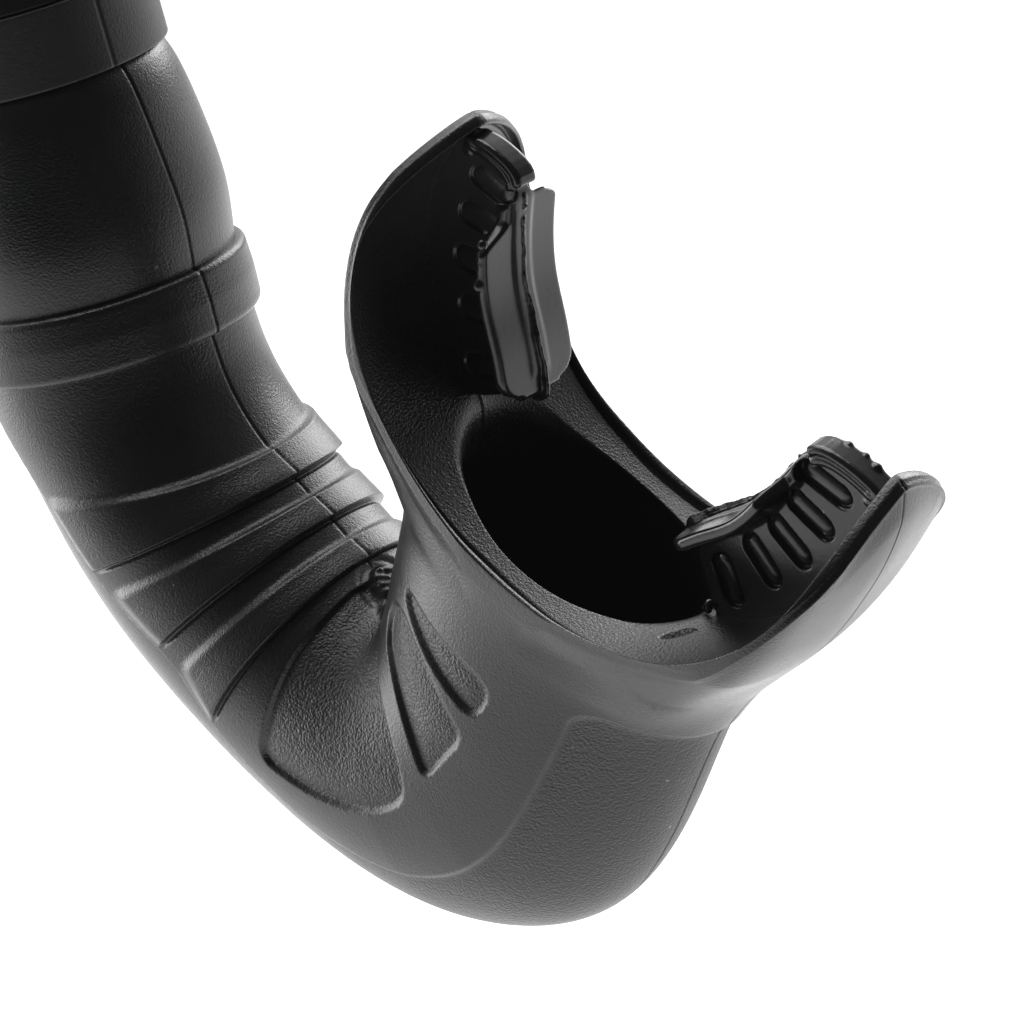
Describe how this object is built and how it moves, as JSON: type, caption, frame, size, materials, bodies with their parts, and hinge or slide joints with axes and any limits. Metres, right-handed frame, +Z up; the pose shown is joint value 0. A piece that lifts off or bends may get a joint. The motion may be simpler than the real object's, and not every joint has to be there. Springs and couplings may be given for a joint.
{
  "type": "snorkel",
  "caption": "J-shaped swimming snorkel: rigid barrel, soft moulding with bellows bend and mouthpiece with bite tabs, tip guard, and a sliding strap keeper with a swivelling clip.",
  "frame": {"origin": "on the barrel's axis, at the lower face of the collar, where the barrel enters the soft moulding", "axes": "+Z runs up the barrel to its open end, +X points from the barrel to the mouthpiece, and Y = 0 is the soft moulding's plane of symmetry"},
  "size_m": [0.1254, 0.038, 0.4001],
  "materials": {
    "barrel_plastic": "smooth satin black plastic",
    "collar_rubber": "matte, finely grained black rubber",
    "soft_rubber": "satin black rubber, with grained panels",
    "signal_rubber": "satin signal-orange rubber",
    "keeper_plastic": "finely etched black plastic"
  },
  "bodies": {
    "barrel": {"barrel_tube": "barrel_plastic", "lock_collar": "collar_rubber", "tip_guard": "signal_rubber"},
    "cuff": {"elbow_cuff": "soft_rubber", "flex_bellows": "soft_rubber"},
    "mouthpiece": {"elbow_bend": "soft_rubber", "mouth_shield": "soft_rubber", "bite_tab_outer": "soft_rubber", "bite_tab_inner": "soft_rubber"},
    "sleeve": {"keeper_sleeve": "collar_rubber"},
    "ring": {"keeper_ring": "keeper_plastic", "keeper_pin": "keeper_plastic"},
    "clip": {"keeper_clip": "keeper_plastic"}
  },
  "joints": [
    {"name": "elbow_swivel", "type": "hinge", "parent": "barrel", "child": "cuff", "pos_m": [0, 0, 0], "axis": [0, 0, 1], "continuous": true},
    {"name": "elbow_flex", "type": "hinge", "parent": "cuff", "child": "mouthpiece", "pos_m": [0.013, 0, -0.066], "axis": [0, 1, 0], "range_deg": [-15, 30], "stiffness_Nm_per_rad": 0.8, "deforming": ["flex_bellows"]},
    {"name": "keeper_slide", "type": "slide", "parent": "barrel", "child": "sleeve", "axis": [0, 0, 1], "range_m": [-0.07, 0.135]},
    {"name": "keeper_turn", "type": "hinge", "parent": "sleeve", "child": "ring", "pos_m": [0, 0, 0.112], "axis": [0, 0, 1], "continuous": true},
    {"name": "clip_pivot", "type": "hinge", "parent": "ring", "child": "clip", "pos_m": [0.0221, 0, 0.112], "axis": [1, 0, 0], "continuous": true}
  ]
}
